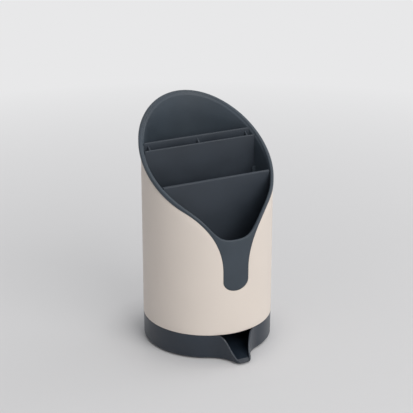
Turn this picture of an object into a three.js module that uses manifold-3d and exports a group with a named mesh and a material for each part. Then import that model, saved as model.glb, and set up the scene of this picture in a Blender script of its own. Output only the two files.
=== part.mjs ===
// Cutlery drainer: a drip tray with a pouring spout, a painted steel sleeve that stands on it,
// and a lift-out caddy with a sponge pocket, a knife rack and a perforated floor.
// Millimetres, +Z up. The spout and the tongue face -Y, and turns are counted from there.

import * as THREE from 'three';
import { mergeVertices } from 'three/addons/utils/BufferGeometryUtils.js';
import Module from 'manifold-3d';

const wasm = await Module();
wasm.setup();

// Whole object
const sleeveRadius = 60;
const totalHeight = 221;
const clearance = 0.3;
const overrun = 5;

// Slanted top: height of its slant in front, and how far it is dished between front and back
const slantFrontHeight = 136.6;
const rimDish = 3.6;

// Steel sleeve, with a slot for the tongue that flares out into the slanted edge
const sheet = 0.8;
const slotHalfWidth = 12.7;
const slotFloorHeight = 66.1;
const slotRound = 9.6;
const flareHeight = 85;
const slotSideStep = 0.1;

// Caddy: a liner with a rim that hangs on the sleeve, a ledge and rails for what slides in
const linerWall = 1.6;
const rimBand = 4.5;
const rimBandGrowth = 1.3;
const rimLeast = 1;
const rimOverhang = 2.4;
const rimRound = 1.2;
const rimRoundShares = { height: 0.8, width: 0.4 };
const rimFlare = 1.4;
const rimFlareDepth = 4;
const notchDepth = 21.2;
const ledgeWidth = 3;
const ledgeThickness = 1.8;
const railThickness = 1.5;
const railDepth = 3;
const railDrop = 30;

// Drain floor
const floorThickness = 2;
const drainSlotLength = 9;
const drainSlotWidth = 3;
const drainMargin = 11.3;
const drainSlotPitch = 17;

// Dividers: their tops lie a little below the slanted rim
const dividerDrop = 1.4;
const frontDividerPlace = 19.5;
const frontDividerThickness = 3;
const rackPlace = 17.8;
const rackDepth = 9;
const rackWall = 2;
const rackWeb = 1.6;
const rackEndInset = 3.5;
const webDrop = 1;

// Drip tray: its top stands just inside the sleeve's outside, with a chamfered edge
const trayHeight = 23.7;
const trayWall = 1.6;
const trayInset = 0.1;
const trayDraft = 0.3;
const trayEdge = 0.4;
const trayFootRound = 1.3;
const trayFloorThickness = 2;
const trayFloorBackHeight = 12;
const collarRise = 3.2;
const collarThickness = 1.7;
const collarDepth = 4;
const collarGapMargin = 2.5;

// Spout: how far it stands out from the sleeve, how its round nose ends, how its walls' top
// edge leaves the tray's level and comes down to the lip, and the ramp that pours at its mouth
const spoutLength = 17.7;
const spoutRootHalf = 12.2;
const spoutTipHalf = 6.6;
const spoutCorner = 4.4;
const spoutFlatShare = 0.125;
const spoutBlendShare = 0.9;
const spoutEdgeInset = 1;
const spoutLevelLength = 4;
const spoutKneeLength = 6.5;
const spoutKneeHeight = 7.5;
const spoutLipHeight = 3.4;
const spoutFloorHeight = 3.8;
const spoutRampLength = 4.5;
const spoutMouthHeight = 2.3;

// Foot pads
const padRadius = 6.5;
const padThickness = 2;
const padChamfer = 0.4;
const padProud = 1.2;
const padInset = 17.6;
const bossWall = 1.6;

// Turns and counts
const quarterTurn = Math.PI / 2;
const halfTurn = Math.PI;
const overhangStartTurn = halfTurn / 6;
const overhangEndTurn = 0.72 * halfTurn;
const flareEndTurn = 48 / 180 * halfTurn;
const notchTurn = 25.5 / 180 * halfTurn;
const spoutLeaveTurn = 25 / 180 * halfTurn;
const wallSteps = 27;
const flareSteps = 10;
const slotSteps = 6;
const traySteps = 64;
const curveSteps = 5;
const roundSteps = 3;
const discSteps = 72;
const padSteps = 24;
const padCount = 4;
const drainRows = 4;
const slotEndSteps = 4;

// Sizes that follow
const sleeveInner = sleeveRadius - sheet;
const linerOuter = sleeveInner - clearance;
const linerInner = linerOuter - linerWall;
const rimRadius = sleeveRadius + rimOverhang;
const slantRise = (totalHeight - slantFrontHeight) / 2;
const slantSideHeight = (totalHeight + slantFrontHeight) / 2 - rimDish;
const flareWidth = flareEndTurn * sleeveRadius - slotHalfWidth;
const flareRise = slantEdgeHeight(flareEndTurn) - flareHeight;
const flareRadius = (flareRise ** 2 + flareWidth ** 2) / (2 * flareWidth);
const sleeveBottom = trayHeight + clearance;
const collarTop = trayHeight + collarRise;
const caddyBottom = collarTop + clearance;
const ledgeTop = caddyBottom + ledgeThickness;
const drainBottom = ledgeTop + clearance;
const drainTop = drainBottom + floorThickness;
const dividerBottom = drainTop + clearance;
const clearTurn = clearance / sleeveRadius;
const trayTopRadius = sleeveRadius - trayInset;
const trayFootRadius = trayTopRadius - trayDraft;
const collarGapHalf = trayTopRadius * Math.sin(spoutLeaveTurn) + collarGapMargin;
const padCircle = trayFootRadius - padInset;
const drainRowPitch = (linerInner - drainMargin) / drainRows;
const spoutReach = sleeveRadius + spoutLength;
const axisPlace = (spoutReach - rimRadius) / 2;

// Colours and surfaces
const slate = { color: 0x3d464e, roughness: 0.62, metalness: 0 };
const stonePaint = { color: 0xd8cfc6, roughness: 0.55, metalness: 0.1 };
const padRubber = { color: 0x24272a, roughness: 0.9, metalness: 0 };

// Solids: a closed three.js geometry becomes one that can be joined and cut
function solid(geometry) {
  const shell = geometry.clone();
  shell.deleteAttribute('normal');
  shell.deleteAttribute('uv');
  const merged = mergeVertices(shell);
  return new wasm.Manifold(new wasm.Mesh({
    numProp: 3,
    vertProperties: new Float32Array(merged.attributes.position.array),
    triVerts: new Uint32Array(merged.index.array),
  }));
}

function geometryOf(body) {
  const mesh = body.getMesh();
  const geometry = new THREE.BufferGeometry();
  geometry.setAttribute('position', new THREE.BufferAttribute(mesh.vertProperties, 3));
  geometry.setIndex(new THREE.BufferAttribute(mesh.triVerts, 1));
  geometry.computeVertexNormals();
  return geometry;
}

function shellOf(points, triangles) {
  const geometry = new THREE.BufferGeometry();
  geometry.setAttribute('position', new THREE.Float32BufferAttribute(points.flat(), 3));
  geometry.setIndex(triangles.flat());
  return solid(geometry);
}

function block(low, high) {
  const size = high.map((value, axis) => value - low[axis]);
  const geometry = new THREE.BoxGeometry(...size);
  geometry.translate(...size.map((value, axis) => low[axis] + value / 2));
  return solid(geometry);
}

function disc(radius, low, high, steps, x = 0, y = 0) {
  const geometry = new THREE.CylinderGeometry(radius, radius, high - low, steps);
  geometry.rotateX(quarterTurn);
  geometry.translate(x, y, (low + high) / 2);
  return solid(geometry);
}

// A bar along X whose outline is given in Y and Z
function bar(outline, halfLength) {
  const shape = new THREE.Shape(outline.map(([y, z]) => new THREE.Vector2(y, z)));
  const geometry = new THREE.ExtrudeGeometry(shape, { depth: 2 * halfLength, bevelEnabled: false });
  geometry.translate(0, 0, -halfLength);
  const alongX = new THREE.Matrix4().makeBasis(
    new THREE.Vector3(0, 1, 0), new THREE.Vector3(0, 0, 1), new THREE.Vector3(1, 0, 0));
  return solid(geometry.applyMatrix4(alongX));
}

// A wall all the way round: at each turn its section is a closed loop of radius and height,
// listed up the outside and down the inside
function ringWall(turns, sectionAt) {
  const sections = turns.map(sectionAt);
  const count = sections[0].length;
  const points = turns.flatMap((turn, station) => sections[station].map(
    ([radius, z]) => [radius * Math.sin(turn), -radius * Math.cos(turn), z]));
  const triangles = [];
  turns.forEach((_, station) => {
    const here = station * count;
    const next = ((station + 1) % turns.length) * count;
    for (let i = 0; i < count; i += 1) {
      const j = (i + 1) % count;
      triangles.push([here + i, next + i, next + j], [here + i, next + j, here + j]);
    }
  });
  return shellOf(points, triangles);
}

// A body between outlines of equal counts at rising heights, listed anticlockwise from above
function loft(levels) {
  const count = levels[0].outline.length;
  const points = levels.flatMap(({ outline, z }) => outline.map(([x, y]) => [x, y, z]));
  const triangles = [];
  for (let level = 0; level + 1 < levels.length; level += 1) {
    for (let i = 0; i < count; i += 1) {
      const j = (i + 1) % count;
      const low = level * count;
      const high = low + count;
      triangles.push([low + i, low + j, high + j], [low + i, high + j, high + i]);
    }
  }
  const cap = (level) => THREE.ShapeUtils.triangulateShape(
    levels[level].outline.map(([x, y]) => new THREE.Vector2(x, y)), []);
  const top = (levels.length - 1) * count;
  cap(0).forEach(([a, b, c]) => triangles.push([c, b, a]));
  cap(levels.length - 1).forEach(([a, b, c]) => triangles.push([top + a, top + b, top + c]));
  return shellOf(points, triangles);
}

// Turns either side of the front are alike
function turnFromFront(turn) {
  return Math.abs(turn > halfTurn ? turn - 2 * halfTurn : turn);
}

// Height of the slanted top over a place between front (-1) and back (1)
function slantHeight(placeShare) {
  return slantSideHeight + slantRise * placeShare + rimDish * placeShare ** 2;
}

// The sleeve's slanted edge, with the rim's band above it, which grows towards the front
function slantEdgeHeight(turn) {
  const toFront = Math.cos(turn);
  return slantHeight(-toFront) - rimBand - rimBandGrowth * Math.max(toFront, 0);
}

// The sleeve's cut edge: slot floor, upright slot sides, a flare of one radius, slanted edge
function sleeveEdgeHeight(turn) {
  const arc = turn * sleeveRadius;
  if (arc <= slotHalfWidth) {
    return slotFloorHeight + slotRound * (1 - Math.sqrt(1 - (arc / slotHalfWidth) ** 2));
  }
  if (turn >= flareEndTurn) {
    return slantEdgeHeight(turn);
  }
  const fromSide = Math.min(arc - slotHalfWidth, flareRadius);
  return flareHeight + Math.sqrt(flareRadius ** 2 - (flareRadius - fromSide) ** 2);
}

// The rim's underside follows the sleeve's edge, one clearance up and one clearance in
function rimSeatHeight(turn) {
  return sleeveEdgeHeight(Math.min(turn + clearTurn, halfTurn)) + clearance;
}

// The rim's top follows the slant and dips in front, so that a sponge can be taken out
function rimTopHeight(turn) {
  const dip = notchDepth / (1 + (turn / notchTurn) ** 4);
  const top = slantHeight(-Math.cos(turn)) - dip;
  return Math.max(top, rimSeatHeight(turn) + rimLeast);
}

// Turns at which the edge is cut, close together where it curves; shift moves the slot's sides
function edgeTurns(shift) {
  const sideTurn = slotHalfWidth / sleeveRadius - shift;
  const half = [];
  for (let i = 1; i <= slotSteps; i += 1) {
    half.push(sideTurn * Math.sin(quarterTurn * i / slotSteps));
  }
  const sweep = Math.acos(Math.max(1 - flareWidth / flareRadius, 0));
  const sideStepTurn = slotSideStep / sleeveRadius;
  for (let i = 0; i < flareSteps; i += 1) {
    const out = flareRadius * (1 - Math.cos(sweep * i / flareSteps));
    half.push(sideTurn + Math.max(out / sleeveRadius, sideStepTurn));
  }
  for (let i = 0; i < wallSteps; i += 1) {
    half.push(flareEndTurn + (halfTurn - flareEndTurn) * i / wallSteps);
  }
  const mirrored = half.map((turn) => 2 * halfTurn - turn).reverse();
  return [0, ...half, halfTurn, ...mirrored];
}

function evenTurns(steps) {
  return Array.from({ length: steps }, (_, i) => 2 * halfTurn * i / steps);
}

// A quarter round from one upright face to a flat top, or back down
function quarterRound(centreRadius, centreHeight, size, fromAngle) {
  return Array.from({ length: roundSteps + 1 }, (_, i) => {
    const angle = fromAngle + quarterTurn * i / roundSteps;
    return [centreRadius + size * Math.cos(angle), centreHeight + size * Math.sin(angle)];
  });
}

function outerSleeve() {
  return ringWall(edgeTurns(0), (turn) => {
    const top = sleeveEdgeHeight(turnFromFront(turn));
    return [[sleeveRadius, sleeveBottom], [sleeveRadius, top], [sleeveInner, top],
      [sleeveInner, sleeveBottom]];
  });
}

function caddyWall() {
  return ringWall(edgeTurns(clearTurn), (turn) => {
    const fromFront = turnFromFront(turn);
    const seat = rimSeatHeight(fromFront);
    const top = rimTopHeight(fromFront);
    const share = THREE.MathUtils.smoothstep(fromFront, overhangStartTurn, overhangEndTurn);
    const outer = sleeveRadius + rimOverhang * share;
    const inner = linerInner + rimFlare * share;
    const round = Math.min(
      rimRound, (top - seat) * rimRoundShares.height, (outer - inner) * rimRoundShares.width);
    return [[linerOuter, caddyBottom], [linerOuter, seat], [outer, seat],
      ...quarterRound(outer - round, top - round, round, 0),
      ...quarterRound(inner + round, top - round, round, quarterTurn),
      [linerInner, top - rimFlareDepth], [linerInner, caddyBottom]];
  });
}

// Each divider's ends slide between two rails on the liner; front and back are its two faces
function dividerSlots() {
  return [
    {
      front: -frontDividerPlace - frontDividerThickness / 2,
      back: -frontDividerPlace + frontDividerThickness / 2,
    },
    { front: rackPlace - rackDepth / 2, back: rackPlace + rackDepth / 2 },
  ];
}

function chordHalf(radius, place) {
  return Math.sqrt(radius ** 2 - place ** 2);
}

function dividerTop(place) {
  return slantHeight(place / sleeveRadius) - dividerDrop;
}

function rails() {
  const blocks = dividerSlots().flatMap(({ front, back }) => {
    const top = dividerTop(front) - railDrop;
    const faces = [front - clearance - railThickness, back + clearance];
    return faces.flatMap((low) => {
      const far = Math.max(Math.abs(low), Math.abs(low + railThickness));
      const inner = chordHalf(linerInner, far) - railDepth;
      return [-1, 1].map((side) => {
        const ends = [side * inner, side * linerOuter].sort((a, b) => a - b);
        return block([ends[0], low, caddyBottom], [ends[1], low + railThickness, top]);
      });
    });
  });
  const within = disc(linerInner + linerWall / 2, caddyBottom, totalHeight, discSteps);
  return blocks.map((piece) => piece.intersect(within));
}

function ledge() {
  return ringWall(evenTurns(discSteps), () => {
    const outer = linerInner + linerWall / 2;
    const inner = linerInner - ledgeWidth;
    return [[outer, caddyBottom], [outer, ledgeTop], [inner, ledgeTop], [inner, caddyBottom]];
  });
}

function caddyShell() {
  return [ledge(), ...rails()].reduce((whole, piece) => whole.add(piece), caddyWall());
}

// A slot with round ends, long way along X
function drainSlot() {
  const radius = drainSlotWidth / 2;
  const straight = (drainSlotLength - drainSlotWidth) / 2;
  const outline = [[straight, -quarterTurn], [-straight, quarterTurn]].flatMap(([centre, from]) =>
    Array.from({ length: slotEndSteps + 1 }, (_, i) => {
      const angle = from + halfTurn * i / slotEndSteps;
      return new THREE.Vector2(centre + radius * Math.cos(angle), radius * Math.sin(angle));
    }));
  const depth = floorThickness + 2 * clearance;
  const geometry = new THREE.ExtrudeGeometry(new THREE.Shape(outline), { depth, bevelEnabled: false });
  return geometry.translate(0, 0, drainBottom - clearance);
}

// A round plate with rings of slots, notched where the rails stand
function drainFloor() {
  let plate = disc(linerInner - clearance, drainBottom, drainTop, discSteps);
  dividerSlots().forEach(({ front, back }) => {
    const low = front - 2 * clearance - railThickness;
    const high = back + 2 * clearance + railThickness;
    const far = Math.max(Math.abs(low), Math.abs(high));
    const inner = chordHalf(linerInner, far) - railDepth - clearance;
    [-1, 1].forEach((side) => {
      const ends = [side * inner, side * sleeveRadius].sort((a, b) => a - b);
      plate = plate.subtract(block(
        [ends[0], low, drainBottom - overrun], [ends[1], high, drainTop + overrun]));
    });
  });
  for (let row = 1; row <= drainRows; row += 1) {
    const radius = row * drainRowPitch;
    const count = Math.max(Math.round(2 * halfTurn * radius / drainSlotPitch), 1);
    for (let i = 0; i < count; i += 1) {
      const slot = drainSlot().translate(0, -radius, 0).rotateZ(2 * halfTurn * (i + 0.5) / count);
      plate = plate.subtract(solid(slot));
    }
  }
  return plate;
}

// An upright plate along X with a rounded top edge
function uprightPlate(place, thickness, top) {
  const radius = thickness / 2;
  const round = Array.from({ length: 2 * roundSteps + 1 }, (_, i) => {
    const angle = halfTurn * i / (2 * roundSteps);
    return [place + radius * Math.cos(angle), top - radius + radius * Math.sin(angle)];
  });
  return bar([[place - radius, dividerBottom], [place + radius, dividerBottom], ...round], sleeveRadius);
}

function withinLiner(body) {
  return body.intersect(disc(linerInner - clearance, 0, totalHeight, discSteps));
}

function frontDivider() {
  const top = dividerTop(-frontDividerPlace);
  return withinLiner(uprightPlate(-frontDividerPlace, frontDividerThickness, top));
}

// Two walls a knife's thickness apart, with a web in the middle and one at each end
function knifeRack() {
  const frontFace = rackPlace - rackDepth / 2;
  const backFace = rackPlace + rackDepth / 2;
  const endPlace = chordHalf(linerInner, backFace) - rackEndInset;
  const webFront = frontFace + rackWall / 2;
  const webBack = backFace - rackWall / 2;
  const frontWall = uprightPlate(webFront, rackWall, dividerTop(webFront));
  const backWall = uprightPlate(webBack, rackWall, dividerTop(webBack));
  const webOutline = [[webFront, dividerBottom], [webBack, dividerBottom],
    [webBack, dividerTop(webBack) - rackWall / 2 - webDrop],
    [webFront, dividerTop(webFront) - rackWall / 2 - webDrop]];
  const webs = [-endPlace, 0, endPlace].map(
    (place) => bar(webOutline, rackWeb / 2).translate(place, 0, 0));
  return withinLiner(webs.reduce((whole, web) => whole.add(web), frontWall.add(backWall)));
}

// The tray's plan at a height: a circle that runs out into the spout. The spout's nose is
// round, or sharp and drawn out by a length where the plan is to cut the mouth open.
function trayOutline(z, drawnOut) {
  const radius = trayFootRadius + trayDraft * z / trayHeight;
  const root = new THREE.Vector2(spoutRootHalf, -sleeveRadius);
  const tip = new THREE.Vector2(spoutTipHalf, -spoutReach);
  const side = tip.clone().sub(root).normalize();
  const leave = new THREE.Vector2(
    radius * Math.sin(spoutLeaveTurn), -radius * Math.cos(spoutLeaveTurn));
  const tangent = new THREE.Vector2(-Math.cos(spoutLeaveTurn), -Math.sin(spoutLeaveTurn));
  const along = root.clone().sub(leave).cross(side) / tangent.cross(side);
  const knee = leave.clone().addScaledVector(tangent, along);
  const cornerStart = tip.clone().addScaledVector(side, -spoutCorner);
  const joined = knee.clone().addScaledVector(
    side, Math.min(along, spoutBlendShare * knee.distanceTo(cornerStart)));
  const cornerEnd = new THREE.Vector2(
    Math.max(spoutTipHalf - spoutCorner, spoutTipHalf * spoutFlatShare), -spoutReach);
  const roundNose = new THREE.QuadraticBezierCurve(cornerEnd, tip, cornerStart).getPoints(curveSteps);
  const half = [
    ...(drawnOut ? [tip.clone().addScaledVector(side, drawnOut)] : roundNose),
    ...new THREE.QuadraticBezierCurve(joined, knee, leave).getPoints(curveSteps),
  ].map(({ x, y }) => [x, y]);
  const circle = Array.from({ length: traySteps - 1 }, (_, i) => {
    const turn = spoutLeaveTurn + 2 * (halfTurn - spoutLeaveTurn) * (i + 1) / traySteps;
    return [radius * Math.sin(turn), -radius * Math.cos(turn)];
  });
  return [...half, ...circle, ...half.map(([x, y]) => [-x, y]).reverse()];
}

// The same outline moved inwards by a distance
function insetOutline(outline, distance) {
  return outline.map(([x, y], i) => {
    const before = new THREE.Vector2(...outline.at(i - 1));
    const after = new THREE.Vector2(...outline[(i + 1) % outline.length]);
    const here = new THREE.Vector2(x, y);
    const arriving = here.clone().sub(before).normalize();
    const leaving = after.sub(here).normalize();
    const way = arriving.clone().add(leaving).normalize();
    const reach = distance / way.dot(leaving);
    return [x - way.y * reach, y + way.x * reach];
  });
}

function trayLevel(z, inset, drawnOut = 0) {
  return { outline: insetOutline(trayOutline(z, drawnOut), inset), z };
}

function trayFloorHeight(place) {
  const share = (place + spoutReach) / (trayTopRadius + spoutReach);
  return THREE.MathUtils.lerp(spoutFloorHeight, trayFloorBackHeight, share);
}

// Everything under the tray's sloping floor and its ramp, down from a drop below their top
function underFloor(drop) {
  const low = -2 * overrun;
  const front = -spoutReach - overrun;
  const back = sleeveRadius + overrun;
  const rampStart = -spoutReach + spoutRampLength;
  const rampTop = trayFloorHeight(rampStart);
  const rampSlope = (rampTop - spoutMouthHeight) / spoutRampLength;
  return bar([[front, low], [back, low], [back, trayFloorHeight(back) - drop],
    [rampStart, rampTop - drop], [front, spoutMouthHeight - rampSlope * overrun - drop]],
  sleeveRadius + overrun);
}

// What is taken off the top of the spout's walls, from the tray's rim down to the lip
function spoutTopCut() {
  const start = spoutEdgeInset - sleeveRadius;
  const curve = new THREE.CubicBezierCurve(
    new THREE.Vector2(start, trayHeight),
    new THREE.Vector2(-sleeveRadius - spoutLevelLength, trayHeight),
    new THREE.Vector2(-sleeveRadius - spoutKneeLength, spoutKneeHeight),
    new THREE.Vector2(-spoutReach, spoutLipHeight));
  const edge = curve.getPoints(2 * curveSteps).map(({ x, y }) => [x, y]);
  const front = -spoutReach - overrun;
  const high = collarTop + overrun;
  return bar([[start, high], ...edge, [front, spoutLipHeight], [front, high]], collarGapHalf);
}

function padPlaces() {
  return Array.from({ length: padCount }, (_, i) => {
    const turn = 2 * halfTurn * (i + 0.5) / padCount;
    return [padCircle * Math.sin(turn), -padCircle * Math.cos(turn)];
  });
}

// The collar stands on a shoulder inside the tray's wall and centres the sleeve
function collar() {
  const outer = sleeveInner - clearance;
  const inner = outer - collarThickness;
  const low = trayHeight - collarDepth;
  const shoulder = trayTopRadius - trayWall / 2;
  const ring = ringWall(evenTurns(discSteps), () => [
    [shoulder, low], [shoulder, trayHeight], [outer, trayHeight], [outer, collarTop],
    [inner, collarTop], [inner, trayHeight - trayWall]]);
  return ring.subtract(block([-collarGapHalf, -trayTopRadius - overrun, low - overrun],
    [collarGapHalf, 0, collarTop + overrun]));
}

// Each foot pad sits in a pocket under a boss that hangs from the tray's floor
function padBosses() {
  const radius = padRadius + clearance + bossWall;
  const above = underFloor(trayFloorThickness / 2);
  return padPlaces().map(([x, y]) => disc(radius, padProud, trayHeight, padSteps, x, y).intersect(above));
}

function padPockets() {
  return padPlaces().map(([x, y]) => disc(
    padRadius + clearance, padProud - overrun, padThickness + clearance, padSteps, x, y));
}

function baseTray() {
  const foot = Array.from({ length: roundSteps + 1 }, (_, i) => {
    const angle = quarterTurn * i / roundSteps;
    return trayLevel(
      padProud + trayFootRound * (1 - Math.cos(angle)), trayFootRound * (1 - Math.sin(angle)));
  });
  const edge = [trayLevel(trayHeight - trayEdge, 0), trayLevel(trayHeight, trayEdge)];
  const outside = loft([...foot, ...edge]);
  const hollow = loft([trayLevel(-overrun, trayWall), trayLevel(trayHeight + overrun, trayWall)]);
  const well = loft([trayLevel(-overrun, trayWall, overrun + trayWall),
    trayLevel(trayHeight + overrun, trayWall, overrun + trayWall)]);
  const below = hollow.intersect(underFloor(trayFloorThickness));
  const above = well.subtract(underFloor(0));
  const walls = outside.subtract(below).subtract(above).add(collar()).subtract(spoutTopCut());
  const bossed = padBosses().reduce((whole, boss) => whole.add(boss), walls);
  return padPockets().reduce((whole, pocket) => whole.subtract(pocket), bossed);
}

function footPad() {
  const rim = padRadius - padChamfer;
  const profile = [[0, 0], [rim, 0], [padRadius, padChamfer], [padRadius, padThickness], [0, padThickness]];
  const geometry = new THREE.LatheGeometry(profile.map(([r, z]) => new THREE.Vector2(r, z)), padSteps);
  return solid(geometry.rotateX(quarterTurn));
}

const group = new THREE.Group();
group.position.y = axisPlace;

function place(name, body, surface, x = 0, y = 0) {
  const mesh = new THREE.Mesh(geometryOf(body), new THREE.MeshStandardMaterial(surface));
  mesh.name = name;
  mesh.position.set(x, y, 0);
  group.add(mesh);
}

place('base_tray', baseTray(), slate);
padPlaces().forEach(([x, y], i) => place(`foot_pad_${i + 1}`, footPad(), padRubber, x, y));
place('outer_sleeve', outerSleeve(), stonePaint);
place('caddy_shell', caddyShell(), slate);
place('drain_floor', drainFloor(), slate);
place('front_divider', frontDivider(), slate);
place('knife_rack', knifeRack(), slate);

export default group;
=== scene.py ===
"""The cutlery drainer dressed for rendering: finer meshes, finishes, studio and camera.

Metres, +Z up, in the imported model's frame. The spout and the tongue face -Y, and turns are
counted from there round the sleeve's axis. Each piece rides on the body that carries it.
"""

import logging
import math
from collections.abc import Callable, Sequence
from dataclasses import dataclass
from enum import Enum

import bpy
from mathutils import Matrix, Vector
from mathutils.geometry import intersect_point_line


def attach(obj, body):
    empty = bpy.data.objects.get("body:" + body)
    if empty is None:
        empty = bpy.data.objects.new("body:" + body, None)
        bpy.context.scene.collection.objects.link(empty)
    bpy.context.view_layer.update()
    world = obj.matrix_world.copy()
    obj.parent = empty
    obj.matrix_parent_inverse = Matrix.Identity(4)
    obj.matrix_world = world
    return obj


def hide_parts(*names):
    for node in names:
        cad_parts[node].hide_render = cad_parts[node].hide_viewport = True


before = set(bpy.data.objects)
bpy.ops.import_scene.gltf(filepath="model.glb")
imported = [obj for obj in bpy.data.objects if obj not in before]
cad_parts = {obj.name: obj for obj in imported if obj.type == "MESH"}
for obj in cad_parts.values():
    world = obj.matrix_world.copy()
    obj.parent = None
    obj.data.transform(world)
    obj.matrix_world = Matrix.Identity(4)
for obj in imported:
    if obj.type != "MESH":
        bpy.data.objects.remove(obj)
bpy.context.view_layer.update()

LOG = logging.getLogger("cutlery_drainer")
HALF = math.pi
FULL = 2 * math.pi
QUARTER = math.pi / 2
ON_PLANE = 1e-5  # how near a plane a point counts as lying on it
WELD = 1e-6  # points of one shell closer than this are one point
JOIN_WELD = 2e-6  # the same once solids were joined
ALIGNED = 0.9  # the part of a way or normal along an axis that makes it count as along it

Place = tuple[float, float, float]
Plan = tuple[float, float]
Ring = list[Place]


class Body(Enum):
    """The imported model's bodies."""

    TRAY = "tray"
    SLEEVE = "sleeve"
    CADDY = "caddy"
    SPONGE_WALL = "sponge_wall"
    RACK = "rack"


class Slot(Enum):
    """The material slots of the finishes."""

    SLATE = "slate_plastic"
    STONE = "stone_paint"
    RUBBER = "pad_rubber"


class Ends(Enum):
    """What becomes of the first and the last ring of a wall."""

    JOINED = "joined"
    FILLED = "filled"


class Part(Enum):
    """What a pick takes hold of, as edit mode's select modes name it."""

    POINTS = "VERT"
    EDGES = "EDGE"
    FACES = "FACE"


class Cut(Enum):
    """How one solid changes another."""

    ADD = "UNION"
    TAKE = "DIFFERENCE"


def lerp(low: float, high: float, share: float) -> float:
    """Returns the value a share of the way from low to high."""
    return low + (high - low) * share


def smooth_share(value: float, low: float, high: float) -> float:
    """Returns 0 below low, 1 above high, and an even curve between them."""
    share = min(max((value - low) / (high - low), 0.0), 1.0)
    return share * share * (3 - 2 * share)


def steps(count: int) -> list[float]:
    """Returns count + 1 even shares from 0 to 1."""
    return [index / count for index in range(count + 1)]


def quarter_round(count: int) -> list[Plan]:
    """Returns a quarter round's steps, as shares off its first line and short of its second."""
    turns = [share * QUARTER for share in steps(count)]
    return [(1 - math.cos(turn), 1 - math.sin(turn)) for turn in turns]


def edge_rounds(count: int) -> list[tuple[bool, float, float]]:
    """Draws the two quarter rounds that take a wall's edge from one face to the other.

    Args:
        count: how many steps each quarter round has.

    Returns:
        For each step, whether it lies on the far face's round, how far it is in from its face
        and how far it is down from the edge, as shares of the round.
    """
    near = [(False, off, short) for off, short in quarter_round(count)]
    far = [(True, short, off) for _, off, short in near]
    return near + far


def bezier(start: Plan, knee: Plan, end: Plan, share: float) -> Plan:
    """Returns a point of a quadratic curve.

    Args:
        start: where the curve starts.
        knee: the point that pulls it.
        end: where it ends.
        share: how far along, from 0 to 1.

    Returns:
        The point's two places.
    """
    back = 1 - share
    return tuple(back * back * a + 2 * back * share * b + share * share * c
                 for a, b, c in zip(start, knee, end))


def cubic(values: Sequence[float], share: float) -> float:
    """Returns a value of a cubic curve, a share of the way along it.

    Args:
        values: the four values that shape the curve.
        share: how far along, from 0 to 1.

    Returns:
        The value there.
    """
    weights = ((1 - share) ** 3, 3 * share * (1 - share) ** 2, 3 * share * share * (1 - share),
               share ** 3)
    return sum(weight * value for weight, value in zip(weights, values))


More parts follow.
